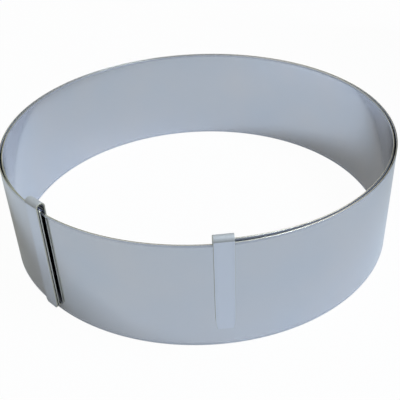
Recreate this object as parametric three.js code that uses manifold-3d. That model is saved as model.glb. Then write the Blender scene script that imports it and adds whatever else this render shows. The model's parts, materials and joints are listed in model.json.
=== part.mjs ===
// Adjustable cake ring: one springy steel strip, wound nearly twice round, with a folded steel clip
// at each end that reaches over the layer beside it. As the ring is opened or closed, each clip
// slides along the strip. Millimetres, +Z up. The origin is on the axis of the ring, at the level of
// the lowest point of the clips, on which the ring stands.
import * as THREE from "three";
import { mergeVertices } from "three/addons/utils/BufferGeometryUtils.js";
import Module from "manifold-3d";

// Driving dimensions of the strip
const ringDiameter = 182;
const stripHeight = 50;
const stripThickness = 0.5;
const layerPitch = 1.3;
const windingDegrees = 675.05;
const outerEndDegrees = -132.8;

// The strip is sprung a little upwards towards each of its ends
const outerEndRise = 2.3;
const outerRiseDegrees = 45;
const innerEndRise = 0.8;
const innerRiseDegrees = 35;

// The strip bends all along its length, so it is divided into short stretches. Each turns on the
// next one at a vertical bend line in the middle of the sheet.
const stretchCount = 49;
const facetsPerStretch = 6;
const bendGap = 0.1;

// Driving dimensions of the clips, which are two of the same pressing
const clipWidth = 7.8;
const clipThickness = 0.6;
const clipStandoff = 0.2;
const layerPlay = 0.7;
const rollProud = 0.08;
const rollRise = 0.5;
const tabShortfall = 8.8;
const tabTaperWidth = 0.6;
const tabTaperHeight = 4;
const hookSweepDegrees = 110;
const hookCornerRadius = 3.2;
const hookCornerDegrees = 75;

// How far a cut runs past what it cuts
const cutOverrun = 1;

// Steel finishes
const stripSteel = { color: 0xa9b4c2, roughness: 0.3, metalness: 1 };
const clipSteel = { color: 0xb3b6b2, roughness: 0.34, metalness: 1 };

// Sizes that follow from the driving dimensions
const outerEndRadius = (ringDiameter - stripThickness) / 2;
const innerEndRadius = outerEndRadius - (layerPitch * windingDegrees) / 360;
const stretchDegrees = windingDegrees / stretchCount;

// A clip's flat leg stands off far enough for the curve of the strip across its width
const legBow = clipWidth ** 2 / (8 * innerEndRadius);
const fixedLegFace = stripThickness / 2 + legBow + clipStandoff;
const freeLegFace = layerPitch + stripThickness / 2 + layerPlay;
const freeLegOuter = freeLegFace + clipThickness;
const hookRadius = fixedLegFace + clipThickness;

// The ring stands on the lower of its two hooks
const stripBottom = Math.max(0, hookRadius - Math.min(innerEndRise, outerEndRise));

const wasm = await Module();
wasm.setup();

function toSolid(geometry) {
  const bare = geometry.clone();
  bare.deleteAttribute("normal");
  bare.deleteAttribute("uv");
  const merged = mergeVertices(bare);
  const vertProperties = new Float32Array(merged.attributes.position.array);
  const triVerts = new Uint32Array(merged.index.array);
  return new wasm.Manifold(new wasm.Mesh({ numProp: 3, vertProperties, triVerts }));
}

function toGeometry(solid) {
  const { vertProperties, triVerts } = solid.getMesh();
  const geometry = new THREE.BufferGeometry();
  geometry.setAttribute("position", new THREE.BufferAttribute(vertProperties, 3));
  geometry.setIndex(new THREE.BufferAttribute(triVerts, 1));
  geometry.computeVertexNormals();
  return geometry;
}

// A point of the spiral in plan. Travel is in degrees along the strip from its outer end, and runs
// clockwise as seen from above; offset is outwards from the middle of the sheet.
function stripPoint(travel, offset = 0) {
  const angle = THREE.MathUtils.degToRad(outerEndDegrees - travel);
  const radius = outerEndRadius - (layerPitch * travel) / 360 + offset;
  return new THREE.Vector2(radius * Math.cos(angle), radius * Math.sin(angle));
}

// The travel that a length along the strip takes up
function travelOfLength(length, travel) {
  return THREE.MathUtils.radToDeg(length / stripPoint(travel).length());
}

// How far the lower edge of the strip is above its lowest part. It is level along each clip.
function stripRise(travel) {
  const clipTravel = travelOfLength(clipWidth, 0);
  const fromInner = windingDegrees - travel;
  const outer = 1 - THREE.MathUtils.smoothstep(travel, clipTravel, outerRiseDegrees);
  const inner = 1 - THREE.MathUtils.smoothstep(fromInner, clipTravel, innerRiseDegrees);
  return outerEndRise * outer + innerEndRise * inner;
}

// One stretch of the strip. Its mesh has its origin on the bend line that joins it to the stretch
// before it on the way from the middle of the strip; the middle stretch has it halfway along.
function stripStretch(index) {
  const from = index * stretchDegrees;
  const to = from + stretchDegrees;
  const middle = (stretchCount - 1) / 2;
  const cut = travelOfLength(bendGap / 2, from);
  const first = index === 0 ? from : from + cut;
  const last = index === stretchCount - 1 ? to : to - cut;
  const pivotTravel = index < middle ? to : index > middle ? from : (from + to) / 2;
  const pivot = stripPoint(pivotTravel);
  const positions = [];
  const faces = [];
  for (let step = 0; step <= facetsPerStretch; step += 1) {
    const travel = THREE.MathUtils.lerp(first, last, step / facetsPerStretch);
    const low = stripRise(travel);
    for (const [side, height] of [[1, 0], [1, 1], [-1, 1], [-1, 0]]) {
      const point = stripPoint(travel, (side * stripThickness) / 2).sub(pivot);
      positions.push(point.x, point.y, low + height * stripHeight);
    }
  }
  for (let step = 0; step < facetsPerStretch; step += 1) {
    for (let corner = 0; corner < 4; corner += 1) {
      const near = step * 4 + corner;
      const next = step * 4 + ((corner + 1) % 4);
      faces.push(near, next + 4, near + 4, near, next, next + 4);
    }
  }
  const lastRing = facetsPerStretch * 4;
  faces.push(0, 2, 1, 0, 3, 2);
  faces.push(lastRing, lastRing + 1, lastRing + 2, lastRing, lastRing + 2, lastRing + 3);
  const shared = new THREE.BufferGeometry();
  shared.setAttribute("position", new THREE.Float32BufferAttribute(positions, 3));
  shared.setIndex(faces);
  const geometry = shared.toNonIndexed();
  geometry.computeVertexNormals();
  const mesh = new THREE.Mesh(geometry, new THREE.MeshStandardMaterial(stripSteel));
  mesh.name = `strip_${String(index + 1).padStart(2, "0")}`;
  mesh.position.set(pivot.x, pivot.y, stripBottom);
  return mesh;
}

// The section of a clip across the strip. X runs from the middle of the strip's end towards the leg
// that is fixed to it, and Y is up from the lower edge of the strip. The sheet comes from its hook
// under the strip, up the fixed leg, round the roll and down the free leg.
function clipSection() {
  const rollX = (hookRadius - freeLegOuter) / 2;
  const rollY = stripHeight + rollRise;
  const halfOuter = (hookRadius + freeLegOuter) / 2;
  const rollOuter = halfOuter + rollProud;
  const rollInner = rollOuter - clipThickness;
  const halfInner = halfOuter - clipThickness;
  const outerCrease = Math.acos(halfOuter / rollOuter);
  const innerCrease = Math.acos(halfInner / rollInner);
  const hookEnd = -THREE.MathUtils.degToRad(hookSweepDegrees);
  const section = new THREE.Shape();
  section.absarc(0, 0, fixedLegFace, hookEnd, 0, false);
  section.absarc(rollX, rollY, rollInner, -innerCrease, Math.PI + innerCrease, false);
  section.lineTo(-freeLegFace, tabShortfall);
  section.lineTo(-freeLegOuter, tabShortfall);
  section.absarc(rollX, rollY, rollOuter, Math.PI + outerCrease, -outerCrease, true);
  section.absarc(0, 0, hookRadius, 0, hookEnd, true);
  return section;
}

// The wedge that tapers one lower corner of the free leg; side is 1 or -1
function taperCutter(side) {
  const halfWidth = clipWidth / 2;
  const slope = tabTaperWidth / tabTaperHeight;
  const drop = cutOverrun;
  const corner = new THREE.Shape([
    new THREE.Vector2(halfWidth, tabShortfall + tabTaperHeight),
    new THREE.Vector2(halfWidth - tabTaperWidth - slope * drop, tabShortfall - drop),
    new THREE.Vector2(halfWidth + cutOverrun, tabShortfall - drop),
    new THREE.Vector2(halfWidth + cutOverrun, tabShortfall + tabTaperHeight),
  ]);
  const depth = clipThickness + layerPlay / 2;
  const geometry = new THREE.ExtrudeGeometry(corner, { depth, bevelEnabled: false });
  const across = new THREE.Vector3(0, side, 0);
  const up = new THREE.Vector3(0, 0, 1);
  const along = new THREE.Vector3().crossVectors(across, up);
  geometry.applyMatrix4(new THREE.Matrix4().makeBasis(across, up, along));
  const outward = -freeLegFace - clipThickness - layerPlay / 4;
  geometry.translate(side > 0 ? outward : outward + depth, 0, 0);
  return toSolid(geometry);
}

// What lies outside one rounded lower corner of the hook; side is 1 or -1. The round runs out in a
// straight line to the bottom of the hook.
function cornerCutter(side) {
  const centreY = clipWidth / 2 - hookCornerRadius;
  const centreZ = hookCornerRadius - hookRadius;
  const sweep = THREE.MathUtils.degToRad(hookCornerDegrees);
  const endY = centreY + hookCornerRadius * Math.cos(sweep);
  const endZ = centreZ - hookCornerRadius * Math.sin(sweep);
  const drop = hookRadius + endZ + cutOverrun / 4;
  const corner = new THREE.Shape();
  corner.absarc(centreY, centreZ, hookCornerRadius, 0, -sweep, true);
  corner.lineTo(endY - drop * Math.tan(sweep), endZ - drop);
  corner.lineTo(clipWidth / 2 + cutOverrun, endZ - drop);
  corner.lineTo(clipWidth / 2 + cutOverrun, centreZ);
  const depth = 2 * (hookRadius + cutOverrun / 4);
  const geometry = new THREE.ExtrudeGeometry(corner, {
    depth,
    bevelEnabled: false,
    curveSegments: 6,
  });
  const across = new THREE.Vector3(0, side, 0);
  const up = new THREE.Vector3(0, 0, 1);
  const along = new THREE.Vector3().crossVectors(across, up);
  geometry.applyMatrix4(new THREE.Matrix4().makeBasis(across, up, along));
  geometry.translate((-side * depth) / 2, 0, 0);
  return toSolid(geometry);
}

// The clip, with X towards the fixed leg, Y across its width and Z up from the strip's lower edge
function clipGeometry() {
  const folded = new THREE.ExtrudeGeometry(clipSection(), {
    depth: clipWidth,
    bevelEnabled: false,
    curveSegments: 8,
  });
  folded.translate(0, 0, -clipWidth / 2);
  folded.rotateX(Math.PI / 2);
  let clip = toSolid(folded);
  for (const side of [1, -1]) {
    clip = clip.subtract(taperCutter(side)).subtract(cornerCutter(side));
  }
  return toGeometry(clip);
}

// Places a clip over the end of the strip: travel is that of its middle, and turn is half a turn
// where the fixed leg is on the inside of the ring
function placeClip(name, travel, turn) {
  const mesh = new THREE.Mesh(clipGeometry(), new THREE.MeshStandardMaterial(clipSteel));
  const middle = stripPoint(travel);
  mesh.name = name;
  mesh.position.set(middle.x, middle.y, stripBottom + stripRise(travel));
  mesh.rotation.z = Math.atan2(middle.y, middle.x) + turn;
  return mesh;
}

const ring = new THREE.Group();
for (let index = 0; index < stretchCount; index += 1) {
  ring.add(stripStretch(index));
}
const outerClipTravel = travelOfLength(clipWidth / 2, 0);
const innerClipTravel = windingDegrees - travelOfLength(clipWidth / 2, windingDegrees);
ring.add(placeClip("outer_end_clip", outerClipTravel, 0));
ring.add(placeClip("inner_end_clip", innerClipTravel, Math.PI));

export default ring;
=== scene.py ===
"""Dresses the adjustable cake ring: a springy steel strip in two layers, with a folded clip at each end."""
import json
import logging
import math
from collections.abc import Sequence
from dataclasses import dataclass
from enum import Enum

import bmesh
import bpy
from mathutils import Matrix, Vector

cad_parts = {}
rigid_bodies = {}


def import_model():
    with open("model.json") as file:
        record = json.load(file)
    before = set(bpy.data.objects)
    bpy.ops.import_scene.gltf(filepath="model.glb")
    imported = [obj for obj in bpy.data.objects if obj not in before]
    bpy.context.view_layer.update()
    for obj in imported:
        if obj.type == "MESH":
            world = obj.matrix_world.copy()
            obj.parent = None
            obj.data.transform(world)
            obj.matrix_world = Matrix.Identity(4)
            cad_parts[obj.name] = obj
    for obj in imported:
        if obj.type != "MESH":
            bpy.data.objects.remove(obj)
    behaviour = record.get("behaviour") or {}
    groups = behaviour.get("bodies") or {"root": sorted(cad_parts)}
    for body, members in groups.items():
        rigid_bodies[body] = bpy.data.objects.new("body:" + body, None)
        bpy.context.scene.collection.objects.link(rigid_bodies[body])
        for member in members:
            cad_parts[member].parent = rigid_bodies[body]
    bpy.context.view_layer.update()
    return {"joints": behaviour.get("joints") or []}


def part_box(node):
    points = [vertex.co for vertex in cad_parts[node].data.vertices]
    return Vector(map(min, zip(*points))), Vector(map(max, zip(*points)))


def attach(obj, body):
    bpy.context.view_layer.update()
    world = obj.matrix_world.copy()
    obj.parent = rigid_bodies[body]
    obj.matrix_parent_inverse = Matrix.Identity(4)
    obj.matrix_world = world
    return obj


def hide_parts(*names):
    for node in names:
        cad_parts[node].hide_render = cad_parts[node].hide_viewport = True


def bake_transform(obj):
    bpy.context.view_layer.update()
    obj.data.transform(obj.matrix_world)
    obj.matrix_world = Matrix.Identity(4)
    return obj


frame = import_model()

log = logging.getLogger("cake_ring")

MM = 0.001

# The map that measures each piece in metres along and across its sheet
SHEET_MAP = "sheet"

# Turn over which the direction of the strip is measured, in radians
SMALL_TURN = 0.001

# A ring of points round the sheet, after its distance along the sheet
Ring = tuple[float, list[Vector]]


def linear_colour(hex_colour: str) -> tuple[float, float, float, float]:
    """Turns an sRGB hex colour into linear light.

    Args:
        hex_colour: Six hex digits, without a leading mark.

    Returns:
        Red, green, blue and an alpha of one.
    """
    channels = [int(hex_colour[i : i + 2], 16) / 255 for i in (0, 2, 4)]
    linear = [c / 12.92 if c <= 0.04045 else ((c + 0.055) / 1.055) ** 2.4 for c in channels]
    return (linear[0], linear[1], linear[2], 1.0)


def add_node(
    tree: bpy.types.NodeTree, kind: str, settings: dict[str, object] | None = None, **inputs: object
) -> bpy.types.Node:
    """Adds a shader node with its settings and links.

    Args:
        tree: The node tree to add to.
        kind: The node's type name.
        settings: Properties of the node itself.
        **inputs: Values by socket name, with underscores for spaces, or by place as i0, i1 and so on where
            sockets share a name. An output socket is linked.

    Returns:
        The new node.
    """
    node = tree.nodes.new(kind)
    for name, value in (settings or {}).items():
        setattr(node, name, value)
    for name, value in inputs.items():
        numbered = name[0] == "i" and name[1:].isdigit()
        socket = node.inputs[int(name[1:])] if numbered else node.inputs[name.replace("_", " ")]
        if isinstance(value, bpy.types.NodeSocket):
            tree.links.new(value, socket)
        else:
            socket.default_value = value
    return node


def new_tree(owner: bpy.types.Material | bpy.types.World) -> bpy.types.NodeTree:
    """Gives a material or a world an empty node tree.

    Args:
        owner: The material or the world.

    Returns:
        Its node tree.
    """
    owner.use_nodes = True
    owner.node_tree.nodes.clear()
    return owner.node_tree


def add_object(name: str, data: bpy.types.ID) -> bpy.types.Object:
    """Adds an object to the scene.

    Args:
        name: Name of the object.
        data: Its mesh, lamp or camera.

    Returns:
        The object.
    """
    added = bpy.data.objects.new(name, data)
    bpy.context.scene.collection.objects.link(added)
    return added


def eased(value: float, low: float, high: float) -> float:
    """A step from zero at low to one at high, with soft ends."""
    share = min(1.0, max(0.0, (value - low) / (high - low)))
    return share * share * (3 - 2 * share)


@dataclass(frozen=True)
class RolledSteel:
    """Cold-rolled stainless steel: polished rolls leave a soft mirror with faint lines along the sheet."""

    name: str
    colour: str
    clouded: str
    smooth: float = 0.09
    dull: float = 0.17
    # The rolls' real lines are some hundredths of a millimetre wide; they are drawn wider, to show at all
    line_pitch: float = 0.3 * MM
    line_length: float = 40 * MM
    line_depth: float = 0.002 * MM
    # Broad, faint clouds of colour, as on any sheet that was rolled and handled
    cloud_size: float = 30 * MM

    def material(self) -> bpy.types.Material:
        """Builds the node material, on the sheet's own measure of length and width.

        Returns:
            The material.
        """
        material = bpy.data.materials.new(self.name)
        tree = new_tree(material)
        sheet = add_node(tree, "ShaderNodeUVMap", {"uv_map": SHEET_MAP}).outputs["UV"]
        line_scale = (1 / self.line_length, 1 / self.line_pitch, 1.0)
        along = add_node(tree, "ShaderNodeMapping", Vector=sheet, Scale=line_scale)
        lines = add_node(tree, "ShaderNodeTexNoise", Vector=along.outputs[0], Scale=1.0, Detail=3.0)
        broad = add_node(tree, "ShaderNodeMapping", Vector=sheet, Scale=(1 / self.cloud_size,) * 3)
        clouds = add_node(tree, "ShaderNodeTexNoise", Vector=broad.outputs[0], Scale=1.0, Detail=2.0)
        tint = add_node(
            tree,
            "ShaderNodeMix",
            {"data_type": "RGBA"},
            i0=clouds.outputs["Fac"],
            i6=linear_colour(self.colour),
            i7=linear_colour(self.clouded),
        )
        blur = add_node(
            tree, "ShaderNodeMapRange", Value=lines.outputs["Fac"], To_Min=self.smooth, To_Max=self.dull
        )
        relief = add_node(
            tree, "ShaderNodeBump", Height=lines.outputs["Fac"], Distance=self.line_depth, Strength=1.0
        )
        surface = add_node(
            tree,
            "ShaderNodeBsdfPrincipled",
            Base_Color=tint.outputs[2],
            Metallic=1.0,
            Roughness=blur.outputs[0],
            Normal=relief.outputs[0],
        )
        add_node(tree, "ShaderNodeOutputMaterial", Surface=surface.outputs[0])
        return material


@dataclass(frozen=True)
class SlitEdge:
    """Cut edge of the sheet: torn and then tumbled, so it is duller than the faces and a little warm."""

    name: str
    colour: str
    burnished: str
    roughness: float
    # The torn grain along the cut is some hundredths of a millimetre wide; it is drawn wider, to show
    grain: float = 0.25 * MM
    grain_stretch: float = 6
    grain_depth: float = 0.01 * MM

    def material(self) -> bpy.types.Material:
        """Builds the node material, on the sheet's own measure of length and width.

        Returns:
            The material.
        """
        material = bpy.data.materials.new(self.name)
        tree = new_tree(material)
        sheet = add_node(tree, "ShaderNodeUVMap", {"uv_map": SHEET_MAP}).outputs["UV"]
        grain_scale = (1 / (self.grain_stretch * self.grain), 1 / self.grain, 1.0)
        fine = add_node(tree, "ShaderNodeMapping", Vector=sheet, Scale=grain_scale)
        grain = add_node(tree, "ShaderNodeTexNoise", Vector=fine.outputs[0], Scale=1.0, Detail=2.0)
        tint = add_node(
            tree,
            "ShaderNodeMix",
            {"data_type": "RGBA"},
            i0=grain.outputs["Fac"],
            i6=linear_colour(self.colour),
            i7=linear_colour(self.burnished),
        )
        relief = add_node(
            tree, "ShaderNodeBump", Height=grain.outputs["Fac"], Distance=self.grain_depth, Strength=1.0
        )
        surface = add_node(
            tree,
            "ShaderNodeBsdfPrincipled",
            Base_Color=tint.outputs[2],
            Metallic=1.0,
            Roughness=self.roughness,
            Normal=relief.outputs[0],
        )
        add_node(tree, "ShaderNodeOutputMaterial", Surface=surface.outputs[0])
        return material


class Zone(Enum):
    """A zone of a sheet, by the place of its material on a piece."""

    FACE = 0
    EDGE = 1
    BORDER = 2
    BEND = 3


@dataclass(frozen=True)
class SheetFinish:
    """The finishes of one sheet: faces, cut edges, the border of each face beside them, and tight bends."""

    faces: RolledSteel
    edges: SlitEdge
    borders: RolledSteel
    slot: str
    bends: RolledSteel | None = None

    def dress(self, pieces: Sequence[bpy.types.Object]) -> None:
        """Gives pieces of this sheet its materials.

        Args:
            pieces: The pieces.
        """
        finishes = {Zone.FACE: self.faces, Zone.EDGE: self.edges, Zone.BORDER: self.borders}
        if self.bends:
            finishes[Zone.BEND] = self.bends
        materials = [finishes[zone].material() for zone in Zone if zone in finishes]
        for piece in pieces:
            for material in materials:
                piece.data.materials.append(material)


STRIP_FINISH = SheetFinish(
    # Rolled bright: the walls mirror the floor and each other, as broad pale and grey wedges
    faces=RolledSteel("bright_rolled_stainless_steel", "d5dbe6", "e3e0e2"),
    # Slit from the coil: a thin, dull line along each rim, warmer than the faces
    edges=SlitEdge("slit_edge_of_stainless_steel", "eceadc", "d8d6c8", roughness=0.24),
    # Brushed where the burr came off: the mirror turns milky beside the rims
    borders=RolledSteel("deburred_border_of_stainless_steel", "d5d9e3", "d9dbe2", smooth=0.5, dull=0.62),
    slot="strip_steel",
)

CLIP_FINISH = SheetFinish(
    # Pressed: a softer mirror and a lighter sheet, so the clips stand out a little from the strip
    faces=RolledSteel("pressed_stainless_steel", "dee3f1", "e3e5ec", smooth=0.12, dull=0.2),
    # Sheared in the press: a rough, cream line that draws the outline of the clips
    edges=SlitEdge("sheared_edge_of_stainless_steel", "e2e1d2", "d0cfbf", roughness=0.5),
    # Tumbled: a shade duller than the faces, which softens the clips' sides
    borders=RolledSteel("tumbled_border_of_stainless_steel", "dce1ef", "e1e3ea", smooth=0.16, dull=0.24),
    # Stretched round the roll: matt, and painted a darker grey than the faces as painted shade, so the roll
    # reads as an evenly shaded grey tube from top to bottom
    bends=RolledSteel("bent_stainless_steel_with_painted_shade", "bfc1c1", "c3c4c4", smooth=0.75, dull=0.85),
    slot="clip_steel",
)


@dataclass(frozen=True)
class SheetSection:
    """The section of a sheet: its thickness, its width and its rounded cut edges."""

    thickness: float
    width: float
    rounding: float
    # Steps round each rounded corner, and the width of the dull border beside each cut edge
    facets: int = 3
    border: float = 1.1 * MM

    def points(self, inset: float = 0.0) -> list[tuple[float, float]]:
        """Offsets through the sheet and places across it, both from its middle.

        Args:
            inset: How much smaller the section is all round.

        Returns:
            The points, anticlockwise. Each flat face has two more, where its borders end.
        """
        half, wide = self.thickness / 2 - inset, self.width / 2 - inset
        radius = self.rounding
        corners = (
            (half - radius, wide - radius),
            (radius - half, wide - radius),
            (radius - half, radius - wide),
            (half - radius, radius - wide),
        )
        found = []
        for number, (x, y) in enumerate(corners):
            for step in range(self.facets + 1):
                angle = math.radians(90 * (number + step / self.facets))
                found.append((x + radius * math.cos(angle), y + radius * math.sin(angle)))
            if number == 1:
                found += [(-half, wide - self.border), (-half, self.border - wide)]
        return found + [(half, self.border - wide), (half, wide - self.border)]

    def zones(self) -> list[Zone]:
        """The zone of each side, in the order of the points where the sides start."""
        cut = [Zone.EDGE] * (2 * self.facets + 1)
        return (cut + [Zone.BORDER, Zone.FACE, Zone.BORDER]) * 2

    def around(self) -> list[float]:
        """Distances round the section.

        Returns:
            The distance to each of its points, and to the first one again.
        """
        points = self.points()
        total, found = 0.0, [0.0]
        for first, second in zip(points, points[1:] + points[:1]):
            total += math.dist(first, second)
            found.append(total)
        return found

    def rounded_end(self) -> list[tuple[float, float]]:
        """Distances from an end of the sheet and insets of the section there, from the end inwards."""
        angles = [math.radians(90 - 90 * step / self.facets) for step in range(self.facets + 1)]
        return [(self.rounding * (1 - math.sin(a)), self.rounding * (1 - math.cos(a))) for a in angles]

    def mesh(self, name: str, rings: Sequence[Ring]) -> bpy.types.Object:
        """A closed piece of sheet through a row of rings, smooth along its length and flat at its ends.

        Args:
            name: Name of the piece.
            rings: Rings of this section's points.

        Returns:
            The piece, in the scene, with a map of the sheet in metres.
        """
        mesh = bmesh.new()
        sheet = mesh.loops.layers.uv.new(SHEET_MAP)
        rows = [[mesh.verts.new(point) for point in ring] for _, ring in rings]
        places = [along for along, _ in rings]
        around = self.around()
        zones = self.zones()
        for low, high, start, end in zip(rows, rows[1:], places, places[1:]):
            for i, zone in enumerate(zones):
                j = (i + 1) % len(zones)
                face = mesh.faces.new((low[i], low[j], high[j], high[i]))
                face.smooth = True
                face.material_index = zone.value
                spots = ((start, around[i]), (start, around[i + 1]), (end, around[i + 1]), (end, around[i]))
                for loop, spot in zip(face.loops, spots):
                    loop[sheet].uv = spot
        for row, place in ((rows[0], places[0]), (rows[-1], places[-1])):
            cap = mesh.faces.new(row)
            cap.material_index = Zone.EDGE.value
            for loop, (offset, across) in zip(cap.loops, self.points()):
                loop[sheet].uv = (place + offset, across)
            # A sharp edge keeps the faces' shading the same on both sides of a seam between two pieces
            for edge in cap.edges:
                edge.smooth = False
        bmesh.ops.recalc_face_normals(mesh, faces=mesh.faces)
        data = bpy.data.meshes.new(name)
        mesh.to_mesh(data)
        mesh.free()
        return add_object(name, data)


@dataclass(frozen=True)
class StripRoute:
    """The spiral that the middle of the sheet follows in plan, and how its lower edge rises to both ends."""

    outer_angle: float
    outer_radius: float
    # How much the radius falls in each radian of travel, and the travel of one stretch
    shrink: float
    step: float
    stretches: int
    bottom: float
    level_length: float = 7.8 * MM
    outer_rise: float = 2.3 * MM
    outer_reach: float = math.radians(45)
    inner_rise: float = 0.8 * MM
    inner_reach: float = math.radians(35)

    @classmethod
    def from_frame(cls) -> "StripRoute":
        """Reads the spiral off the places of the bend lines, and the height off the middle stretch.

        Returns:
            The route.
        """
        anchors = {}
        for joint in frame["joints"]:
            numbers = [int(joint[end].split("_")[1]) for end in ("parent", "child")]
            anchors[min(numbers)] = Vector(joint["pos_m"][:2])
        count = len(anchors) + 1
        step = abs(anchors[1].angle(anchors[2]))
        shrink = (anchors[1].length - anchors[count - 1].length) / (step * (count - 2))
        start = math.atan2(anchors[1].y, anchors[1].x) + step
        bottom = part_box(f"strip_{(count + 1) // 2:02d}")[0].z
        return cls(start, anchors[1].length + shrink * step, shrink, step, count, bottom)

    def end(self) -> float:
        """The travel of the strip's inner end."""
        return self.stretches * self.step

    def radius(self, travel: float) -> float:
        """Distance of the middle of the sheet from the ring's axis."""
        return self.outer_radius - self.shrink * travel

    def length(self, travel: float) -> float:
        """Length of the sheet from its outer end."""
        return (self.outer_radius - self.shrink * travel / 2) * travel

    def low(self, travel: float) -> float:
        """Height of the sheet's lower edge, which is level along each clip.

        Args:
            travel: Angle along the strip from its outer end, in radians.

        Returns:
            The height above the table.
        """
        level = self.level_length / self.outer_radius
        outer = 1 - eased(travel, level, self.outer_reach)
        inner = 1 - eased(self.end() - travel, level, self.inner_reach)
        return self.bottom + self.outer_rise * outer + self.inner_rise * inner

    def place(self, travel: float, offset: float = 0.0, height: float = 0.0) -> Vector:
        """A point beside the route.

        Args:
            travel: Angle along the strip from its outer end, in radians.
            offset: Distance outwards from the middle of the sheet.
            height: Height above the table.

        Returns:
            The point.
        """
        angle = self.outer_angle - travel
        radius = self.radius(travel) + offset
        return Vector((radius * math.cos(angle), radius * math.sin(angle), height))

    def heading(self, travel: float) -> Vector:
        """The level direction in which the strip goes on towards its inner end."""
        return (self.place(travel + SMALL_TURN) - self.place(travel)).normalized()


@dataclass
class SpringStrip:
    """The springy strip. Each piece runs from mid-stretch to the next mid-stretch, across the bend line
    between.
    """

    route: StripRoute
    finish: SheetFinish
    thickness: float = 0.5 * MM
    height: float = 50 * MM
    rounding: float = 0.06 * MM
    # Rings in a stretch's length, and the least that a short piece has
    steps: int = 20
    least_steps: int = 4
    # Lengths, in stretches, over which a piece would bend to keep the ring round and unbroken when it opens
    bend_length: float = 1 + math.sqrt(3)
    end_bend_length: float = 1.464

    def __post_init__(self) -> None:
        """Works out the section of the sheet."""
        self.section = SheetSection(self.thickness, self.height, self.rounding)

    def ring(self, travel: float, inset: float = 0.0) -> Ring:
        """The section of the sheet at one place along the route.

        Args:
            travel: Angle along the strip from its outer end, in radians.
            inset: How much smaller the section is all round.

        Returns:
            The distance along the sheet and the points.
        """
        middle = self.route.low(travel) + self.height / 2
        section = self.section.points(inset)
        points = [self.route.place(travel, offset, middle + across) for offset, across in section]
        return (self.route.length(travel), points)

    def stretch_middle(self, number: int) -> float:
        """The travel of the middle of a stretch, counted from one at the outer end."""
        return (number - 0.5) * self.route.step

    def piece(self, name: str, start: float, end: float, nodes: Sequence[int]) -> bpy.types.Object:
        """One length of the strip in place of the stretches that it covers.

        Args:
            name: Name of the piece.
            start: Travel where it starts; at zero its end is rounded.
            end: Travel where it ends; at the strip's end it is rounded.
            nodes: Numbers of the stretches that it stands for.

        Returns:
            The piece.
        """
        steps = max(self.least_steps, round(self.steps * (end - start) / self.route.step))
        rings = [self.ring(start + (end - start) * i / steps) for i in range(steps + 1)]
        tip = [(distance / self.route.radius(start), inset) for distance, inset in self.section.rounded_end()]
        if start == 0:
            rings[:1] = [self.ring(turn, inset) for turn, inset in tip]
        if end == self.route.end():
            rings[-1:] = [self.ring(end - turn, inset) for turn, inset in reversed(tip)]
        piece = self.section.mesh(name, rings)
        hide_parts(*[f"strip_{n:02d}" for n in nodes])
        return piece

    def build(self) -> list[bpy.types.Object]:
        """Builds, places and dresses every length of the strip.

        Returns:
            The pieces, from the outer end to the inner end.
        """
        last = self.route.stretches
        outer = self.piece("strip_outer_end", 0.0, self.stretch_middle(1), [1])
        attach(outer, "stretch_01")
        pieces = [outer]
        for number in range(1, last):
            start, end = self.stretch_middle(number), self.stretch_middle(number + 1)
            piece = self.piece(f"strip_bend_{number:02d}", start, end, [number, number + 1])
            self.bend(piece, number)
            pieces.append(piece)
        inner = self.piece("strip_inner_end", self.stretch_middle(last), self.route.end(), [last])
        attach(inner, f"stretch_{last:02d}")
        pieces.append(inner)
        self.finish.dress(pieces)
        return pieces

    def bend(self, piece: bpy.types.Object, number: int) -> None:
        """Bakes the placement of the piece that spans the bend between two stretches.

        Args:
            piece: The piece.
            number: Number of the first of its two stretches.
        """
        hinge = number * self.route.step
        centre = self.route.place(hinge, height=self.route.bottom + self.height / 2)
        stretch = self.route.heading(hinge) * self.route.step * self.route.radius(hinge)
        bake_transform(piece)


class StripEnd(Enum):
    """The strip's two ends, by the name of the clip on each."""

    OUTER = "outer_end_clip"
    INNER = "inner_end_clip"


@dataclass(frozen=True)
class Fold:
    """A place along a clip's folded sheet, in the plane across the strip: X to the fixed leg and Z up."""

    x: float
    z: float
    facing: float
    narrowing: float = 0.0


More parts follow.
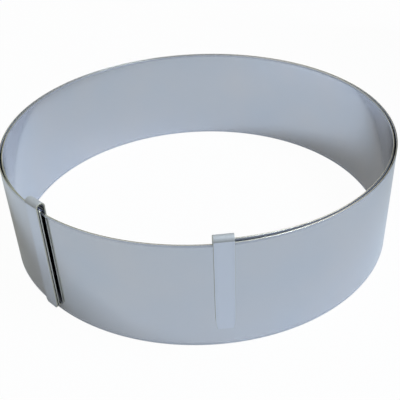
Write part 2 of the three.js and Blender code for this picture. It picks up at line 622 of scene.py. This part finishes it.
@dataclass
class FoldedClips:
    """The two clips. Each is one folded sheet: hook, fixed leg, roll over both layers and free leg."""

    strip: SpringStrip
    finish: SheetFinish
    layer_pitch: float = 1.3 * MM
    width: float = 7.8 * MM
    thickness: float = 0.6 * MM
    rounding: float = 0.1 * MM
    standoff: float = 0.2 * MM
    layer_play: float = 0.7 * MM
    roll_proud: float = 0.08 * MM
    roll_rise: float = 0.5 * MM
    tab_shortfall: float = 8.8 * MM
    taper_width: float = 0.6 * MM
    taper_height: float = 4 * MM
    hook_sweep: float = math.radians(110)
    corner_radius: float = 3.2 * MM
    # The hook's corners curve in until the square of their share of the radius falls to this
    corner_floor: float = 0.15
    # Height over the middle of the roll from which the bend has stretched the sheet and left it matt, and
    # from which the roll is painted darker grey as painted shade
    matt_and_shade_rise: float = 0.3 * MM
    # Distances from the neck and the taper of the rings that keep the legs flat up to there
    neck_far: float = 0.6 * MM
    neck_near: float = 0.15 * MM
    taper_near: float = 0.5 * MM
    # Steps in which the curves are drawn
    hook_steps: int = 14
    corner_steps: int = 8
    roll_steps: int = 40
    taper_steps: int = 4

    def __post_init__(self) -> None:
        """Works out the sheet's middle line from the sizes that the clip goes round."""
        self.route = self.strip.route
        self.section = SheetSection(self.thickness, self.width, self.rounding)
        bow = self.width**2 / (8 * self.route.radius(self.route.end()))
        self.fixed_x = self.strip.thickness / 2 + bow + self.standoff + self.thickness / 2
        self.free_x = -(self.layer_pitch + self.strip.thickness / 2 + self.layer_play + self.thickness / 2)
        self.roll_x = (self.fixed_x + self.free_x) / 2
        self.roll_z = self.strip.height + self.roll_rise
        self.roll_radius = (self.fixed_x - self.free_x) / 2 + self.roll_proud
        self.neck = math.acos((self.fixed_x - self.roll_x) / self.roll_radius)
        self.neck_z = self.roll_z - self.roll_radius * math.sin(self.neck)

    def folds(self) -> list[Fold]:
        """The places along the folded sheet.

        Returns:
            The places, from the tip of the hook to the tip of the tab.
        """
        outside = self.fixed_x + self.thickness / 2
        found = []
        for step in range(self.hook_steps + 1):
            angle = -self.hook_sweep * (1 - step / self.hook_steps)
            x, z = self.fixed_x * math.cos(angle), self.fixed_x * math.sin(angle)
            found.append(Fold(x, z, angle, self.corner(outside * math.sin(angle))))
        for step in range(1, self.corner_steps + 1):
            height = self.corner_radius * step / self.corner_steps
            found.append(Fold(self.fixed_x, height, 0.0, self.corner(height)))
        for distance in (self.neck_far, self.neck_near):
            found.append(Fold(self.fixed_x, self.neck_z - distance, 0.0))
        sweep = math.pi + 2 * self.neck
        for step in range(self.roll_steps + 1):
            angle = sweep * step / self.roll_steps - self.neck
            x = self.roll_x + self.roll_radius * math.cos(angle)
            found.append(Fold(x, self.roll_z + self.roll_radius * math.sin(angle), angle))
        taper_top = self.tab_shortfall + self.taper_height
        for z in (self.neck_z - self.neck_near, self.neck_z - self.neck_far, taper_top + self.taper_near):
            found.append(Fold(self.free_x, z, math.pi))
        for step in range(self.taper_steps + 1):
            share = step / self.taper_steps
            height = taper_top - self.taper_height * share
            found.append(Fold(self.free_x, height, math.pi, narrowing=self.taper_width * share))
        return found

    def corner(self, height: float) -> float:
        """How much narrower each side of the hook's rounded end is at a height.

        Args:
            height: Height over the middle of the hook's curl.

        Returns:
            The width that is missing on each side.
        """
        below = self.corner_radius - self.fixed_x - self.thickness / 2 - height
        squared = 1 - max(0.0, below / self.corner_radius) ** 2
        return self.corner_radius - math.sqrt(max(self.corner_floor, squared)) * self.corner_radius

    def ring(self, fold: Fold, inset: float = 0.0) -> list[Vector]:
        """The section of the sheet at a place along it.

        Args:
            fold: The place.
            inset: How much smaller the section is all round.

        Returns:
            The points.
        """
        points = []
        for offset, across in self.section.points(inset):
            wide = across * (1 - fold.narrowing / (self.width / 2))
            x = fold.x + offset * math.cos(fold.facing)
            points.append(Vector((x, wide, fold.z + offset * math.sin(fold.facing))))
        return points

    def rings(self) -> list[Ring]:
        """The rings of the folded sheet.

        Returns:
            The rings from tip to tip, with both tips rounded.
        """
        folds = self.folds()
        places = [0.0]
        for first, second in zip(folds, folds[1:]):
            places.append(places[-1] + math.dist((first.x, first.z), (second.x, second.z)))
        found = [(place, self.ring(fold)) for place, fold in zip(places, folds)]
        hook_tip = self.rounded_tip(folds[1], folds[0], 0.0)[::-1]
        return hook_tip + found[1:-1] + self.rounded_tip(folds[-2], folds[-1], places[-1])

    def rounded_tip(self, before: Fold, tip: Fold, place: float) -> list[Ring]:
        """The rings that round off a tip of the sheet.

        Args:
            before: The place next to the tip.
            tip: The place of the tip.
            place: Distance of the tip along the sheet.

        Returns:
            The rings, from the full section outwards.
        """
        run = Vector((tip.x - before.x, tip.z - before.z)).normalized()
        rings = []
        for distance, inset in reversed(self.section.rounded_end()):
            spot = Fold(tip.x - run.x * distance, tip.z - run.y * distance, tip.facing, tip.narrowing)
            rings.append((place, self.ring(spot, inset)))
        return rings

    def mark_roll(self, mesh: bpy.types.Mesh) -> None:
        """Marks both sides of the roll as a tight bend, which is matt and painted darker grey as painted
        shade.

        Args:
            mesh: The clip's mesh, still in the plane of its folds.
        """
        for face in mesh.polygons:
            # Above this height the roll takes the bend finish: matt, with a darker grey painted on as shade
            if face.center.z > self.roll_z + self.matt_and_shade_rise and face.material_index != Zone.EDGE.value:
                face.material_index = Zone.BEND.value

    def piece(self, end: StripEnd) -> bpy.types.Object:
        """One clip, in its place on the strip.

        Args:
            end: The end of the strip that the clip is on.

        Returns:
            The clip.
        """
        outside = end is StripEnd.OUTER
        half_turn = self.width / 2 / self.route.radius(0.0 if outside else self.route.end())
        travel = half_turn if outside else self.route.end() - half_turn
        clip = self.section.mesh(f"folded_{end.value}", self.rings())
        self.mark_roll(clip.data)
        turn = self.route.outer_angle - travel + (0.0 if outside else math.pi)
        place = Matrix.Translation(self.route.place(travel, height=self.route.low(travel)))
        clip.data.transform(place @ Matrix.Rotation(turn, 4, "Z"))
        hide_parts(end.value)
        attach(clip, "stretch_01" if outside else f"stretch_{self.route.stretches:02d}")
        return clip

    def build(self) -> list[bpy.types.Object]:
        """Builds, places and dresses both clips.

        Returns:
            The clips, the one on the outer end first.
        """
        clips = [self.piece(end) for end in StripEnd]
        self.finish.dress(clips)
        return clips


@dataclass(frozen=True)
class PhotoCamera:
    """The camera at the photograph's viewing angle."""

    distance: float = 331.627 * MM
    elevation: float = math.radians(35.26)
    lens: float = 58.511
    sensor: float = 36
    roll: float = math.radians(2.5846)
    tilt: float = math.radians(-1.2279)
    pan: float = math.radians(-0.0866)

    def build(self, target_height: float) -> None:
        """Adds the camera and makes it the scene's own.

        Args:
            target_height: Height of the point on the ring's axis that the camera is fitted to.
        """
        data = bpy.data.cameras.new("photo_camera")
        data.lens = self.lens
        data.sensor_width = self.sensor
        camera = add_object("photo_camera", data)
        back = Vector((0, -math.cos(self.elevation), math.sin(self.elevation)))
        level = Matrix(((1, 0, 0), (0, math.sin(self.elevation), math.cos(self.elevation)), back))
        rolled, tilted = Matrix.Rotation(self.roll, 3, "Z"), Matrix.Rotation(self.tilt, 3, "X")
        panned = Matrix.Rotation(self.pan, 3, "Y")
        turned = (rolled @ tilted @ panned @ level).transposed().to_4x4()
        place = back * self.distance + Vector((0, 0, target_height))
        camera.matrix_world = Matrix.Translation(place) @ turned
        bpy.context.scene.camera = camera


@dataclass(frozen=True)
class Card:
    """A curved card round the table that the steel mirrors. The camera sees through it."""

    name: str
    colour: str
    # From the X axis, in degrees
    azimuths: tuple[float, float]
    heights: tuple[float, float]
    distance: float
    # Share of the light that the card stops: below one it is a net
    density: float = 1.0
    facets: int = 16

    def build(self) -> None:
        """Adds the card."""
        low, high = self.azimuths
        angles = [math.radians(low + (high - low) * i / self.facets) for i in range(self.facets + 1)]
        reach = self.distance
        points = [(reach * math.cos(a), reach * math.sin(a), z) for z in self.heights for a in angles]
        row = self.facets + 1
        data = bpy.data.meshes.new(self.name)
        data.from_pydata(points, [], [(i, i + 1, i + 1 + row, i + row) for i in range(self.facets)])
        add_object(self.name, data)
        material = bpy.data.materials.new(self.name)
        tree = new_tree(material)
        path = add_node(tree, "ShaderNodeLightPath")
        board = add_node(tree, "ShaderNodeBsdfDiffuse", Color=linear_colour(self.colour))
        clear = add_node(tree, "ShaderNodeBsdfTransparent")
        open_share = add_node(
            tree,
            "ShaderNodeMath",
            {"operation": "MULTIPLY_ADD"},
            i0=path.outputs["Is Camera Ray"],
            i1=self.density,
            i2=1 - self.density,
        )
        mix = add_node(
            tree, "ShaderNodeMixShader", Fac=open_share.outputs[0], i1=board.outputs[0], i2=clear.outputs[0]
        )
        add_node(tree, "ShaderNodeOutputMaterial", Surface=mix.outputs[0])
        data.materials.append(material)


@dataclass(frozen=True)
class Studio:
    """A white sweep in soft light from all round, with a large lamp to the right and cards in the mirror."""

    floor_half: float = 3.0
    paper: str = "cacac8"
    fill_colour: str = "fffef6"
    fill_strength: float = 0.5
    lamp_colour: str = "d6e9ff"
    lamp_power: float = 33.0
    lamp_size: float = 0.8
    lamp_azimuth: float = math.radians(-20)
    lamp_elevation: float = math.radians(60)
    lamp_distance: float = 2.0
    # Shares of plain white in the floor, as the camera sees it and as the steel mirrors it
    background_share: float = 0.97
    mirrored_share: float = 0.08
    # A dull wall to the left, a low dark board and a net in front, and dark boards behind and to the right
    cards: tuple[Card, ...] = (
        Card("olive_card", "b0ae9e", (112, 205), (0.05, 1.05), 0.6),
        Card("front_card", "55524c", (242, 325), (0.0, 0.22), 0.45),
        Card("front_net", "e4e6e8", (252, 304), (0.22, 1.6), 0.45, density=0.92),
        Card("back_card", "504e45", (82, 106), (0.4, 1.55), 1.5),
        Card("right_card", "6c6c64", (-5, 60), (0.0, 0.35), 0.3),
    )

    def build(self) -> None:
        """Adds the floor, the world, the lamp and the cards."""
        bpy.context.scene.view_settings.view_transform = "Standard"
        self.add_world()
        self.add_floor()
        self.add_lamp()
        for card in self.cards:
            card.build()

    def add_world(self) -> None:
        """Adds the soft light from all round, behind a white background that the steel mirrors too."""
        world = bpy.data.worlds.new("studio")
        tree = new_tree(world)
        path = add_node(tree, "ShaderNodeLightPath")
        seen = path.outputs["Is Camera Ray"]
        for ray in ("Is Glossy Ray", "Is Transmission Ray"):
            either = add_node(tree, "ShaderNodeMath", {"operation": "MAXIMUM"}, i0=seen, i1=path.outputs[ray])
            seen = either.outputs[0]
        fill = add_node(
            tree, "ShaderNodeBackground", Color=linear_colour(self.fill_colour), Strength=self.fill_strength
        )
        white = add_node(tree, "ShaderNodeBackground", Color=(1, 1, 1, 1), Strength=1.0)
        mix = add_node(tree, "ShaderNodeMixShader", Fac=seen, i1=fill.outputs[0], i2=white.outputs[0])
        add_node(tree, "ShaderNodeOutputWorld", Surface=mix.outputs[0])
        bpy.context.scene.world = world

    def add_floor(self) -> None:
        """Adds the pale floor. It is nearly white to the camera, and the ring's shadow still falls on it."""
        data = bpy.data.meshes.new("floor")
        half = self.floor_half
        corners = [(-half, -half, 0), (half, -half, 0), (half, half, 0), (-half, half, 0)]
        data.from_pydata(corners, [], [(0, 1, 2, 3)])
        add_object("floor", data)
        material = bpy.data.materials.new("white_sweep")
        tree = new_tree(material)
        path = add_node(tree, "ShaderNodeLightPath")
        indirect = add_node(
            tree,
            "ShaderNodeMath",
            {"operation": "MAXIMUM"},
            i0=path.outputs["Is Glossy Ray"],
            i1=path.outputs["Is Transmission Ray"],
        )
        mirrored = add_node(
            tree, "ShaderNodeMath", {"operation": "MULTIPLY"}, i0=indirect.outputs[0], i1=self.mirrored_share
        )
        seen = add_node(
            tree,
            "ShaderNodeMath",
            {"operation": "MULTIPLY_ADD"},
            i0=path.outputs["Is Camera Ray"],
            i1=self.background_share,
            i2=mirrored.outputs[0],
        )
        paper = add_node(tree, "ShaderNodeBsdfDiffuse", Color=linear_colour(self.paper))
        white = add_node(tree, "ShaderNodeEmission", Color=(1, 1, 1, 1), Strength=1.0)
        mix = add_node(
            tree, "ShaderNodeMixShader", Fac=seen.outputs[0], i1=paper.outputs[0], i2=white.outputs[0]
        )
        add_node(tree, "ShaderNodeOutputMaterial", Surface=mix.outputs[0])
        data.materials.append(material)

    def add_lamp(self) -> None:
        """Adds the large lamp, aimed at the ring."""
        data = bpy.data.lights.new("soft_lamp", "AREA")
        data.energy = self.lamp_power
        data.size = self.lamp_size
        data.color = linear_colour(self.lamp_colour)[:3]
        lamp = add_object("soft_lamp", data)
        flat = math.cos(self.lamp_elevation)
        x, y = flat * math.cos(self.lamp_azimuth), flat * math.sin(self.lamp_azimuth)
        towards = Vector((x, y, math.sin(self.lamp_elevation)))
        lamp.location = towards * self.lamp_distance
        lamp.rotation_mode = "QUATERNION"
        lamp.rotation_quaternion = towards.to_track_quat("Z", "Y")


def main() -> None:
    """Builds the ring and its studio, and logs each piece that it builds."""
    logging.basicConfig(level=logging.INFO)
    strip = SpringStrip(StripRoute.from_frame(), STRIP_FINISH)
    clips = FoldedClips(strip, CLIP_FINISH)
    for assembly in (strip, clips):
        for piece in assembly.build():
            log.info("built %s", piece.name)
    PhotoCamera().build(strip.route.bottom)
    Studio().build()


if __name__ == "__main__":
    main()
